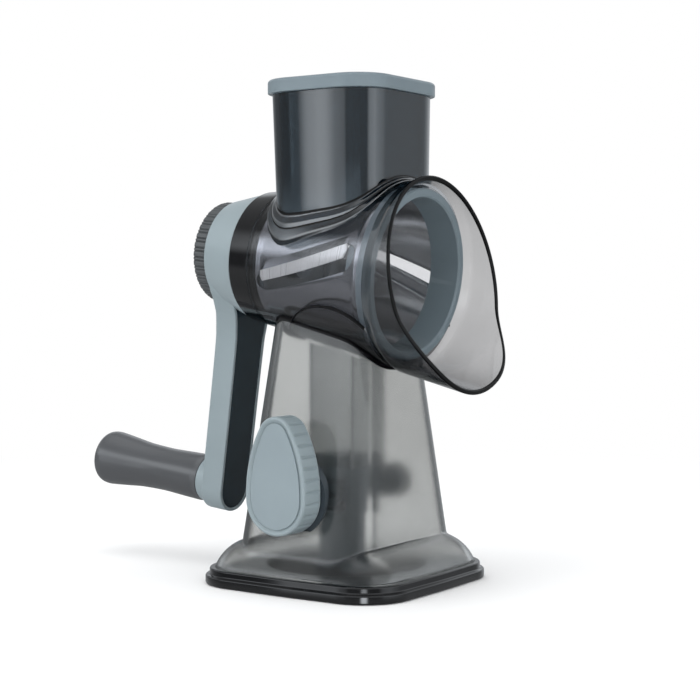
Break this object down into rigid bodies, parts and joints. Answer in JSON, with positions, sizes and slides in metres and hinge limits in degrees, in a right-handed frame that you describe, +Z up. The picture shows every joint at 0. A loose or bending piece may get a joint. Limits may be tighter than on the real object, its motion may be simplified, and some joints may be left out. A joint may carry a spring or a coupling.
{
  "type": "rotary drum shredder",
  "caption": "Hand-cranked drum shredder: smoky suction stand, tilted barrel with steel shredding drum, feed chute with pusher, flared outlet hood, crank and locking knob.",
  "frame": {"origin": "middle of the square base's underside, on the surface that it stands on", "axes": "+Z up; +X the way the barrel and its outlet point; the locking knob is on the -Y side and the crank hangs at the -X end"},
  "size_m": [0.2243, 0.1122, 0.235],
  "materials": {
    "smoke": "smoky see-through moulded plastic, polished outside",
    "blue_grey": "satin blue-grey moulded plastic",
    "slate": "dark slate moulded plastic, polished",
    "black_skirt": "black moulded plastic, polished",
    "dark_grey": "dark grey moulded plastic, satin",
    "ivory": "bearing plastic",
    "stainless": "stainless sheet, brushed",
    "fastener": "plated steel",
    "rubber": "soft black rubber"
  },
  "bodies": {
    "stand": {"pedestal": "smoke", "base_skirt": "black_skirt", "guide_duct": "smoke", "saddle_collar": "black_skirt", "barrel_housing": "smoke", "feed_chute": "smoke", "outlet_hood": "smoke", "rear_flange": "black_skirt", "rear_bush": "ivory", "knob_collar": "slate", "shaft_end_boss": "slate"},
    "stem": {"stem_yoke": "blue_grey", "cup_disc": "slate", "suction_cup": "rubber"},
    "knob": {"lock_knob": "blue_grey", "knob_face": "blue_grey", "cam_shaft": "slate", "knob_screw": "fastener"},
    "crank": {"crank_arm": "blue_grey", "arm_cover": "slate", "grip_bolt": "fastener"},
    "nut": {"hub_nut": "dark_grey"},
    "grip": {"grip": "dark_grey", "grip_cap": "dark_grey"},
    "drum": {"drum_shell": "stainless", "drum_front_ring": "blue_grey", "drum_hub": "blue_grey", "drive_shaft": "fastener"},
    "pusher": {"pusher_body": "blue_grey", "pusher_lid": "blue_grey"}
  },
  "joints": [
    {"name": "crank_spin", "type": "hinge", "parent": "stand", "child": "crank", "pos_m": [0, 0, 0.1486], "axis": [0.9945, 0, -0.1045], "continuous": true},
    {"name": "nut_turn", "type": "hinge", "parent": "crank", "child": "nut", "pos_m": [0, 0, 0.1486], "axis": [0.9945, 0, -0.1045], "continuous": true},
    {"name": "grip_spin", "type": "hinge", "parent": "crank", "child": "grip", "pos_m": [-0.01196, 0, 0.03483], "axis": [0.9945, 0, -0.1045], "continuous": true},
    {"name": "drum_slide", "type": "slide", "parent": "crank", "child": "drum", "axis": [0.9945, 0, -0.1045], "range_m": [0, 0.112]},
    {"name": "pusher_slide", "type": "slide", "parent": "stand", "child": "pusher", "axis": [0, 0, 1], "range_m": [0, 0.06]},
    {"name": "lock_turn", "type": "hinge", "parent": "stand", "child": "knob", "pos_m": [0, 0, 0.0436], "axis": [0, 1, 0], "range_deg": [0, 90]},
    {"name": "stem_lift", "type": "slide", "parent": "stand", "child": "stem", "axis": [0, 0, 1], "range_m": [0, 0.0035], "deforming": ["suction_cup"]}
  ],
  "couplings": [
    {"joint": "stem_lift", "follows": "lock_turn", "m_per_rad": 0.0021608}
  ]
}
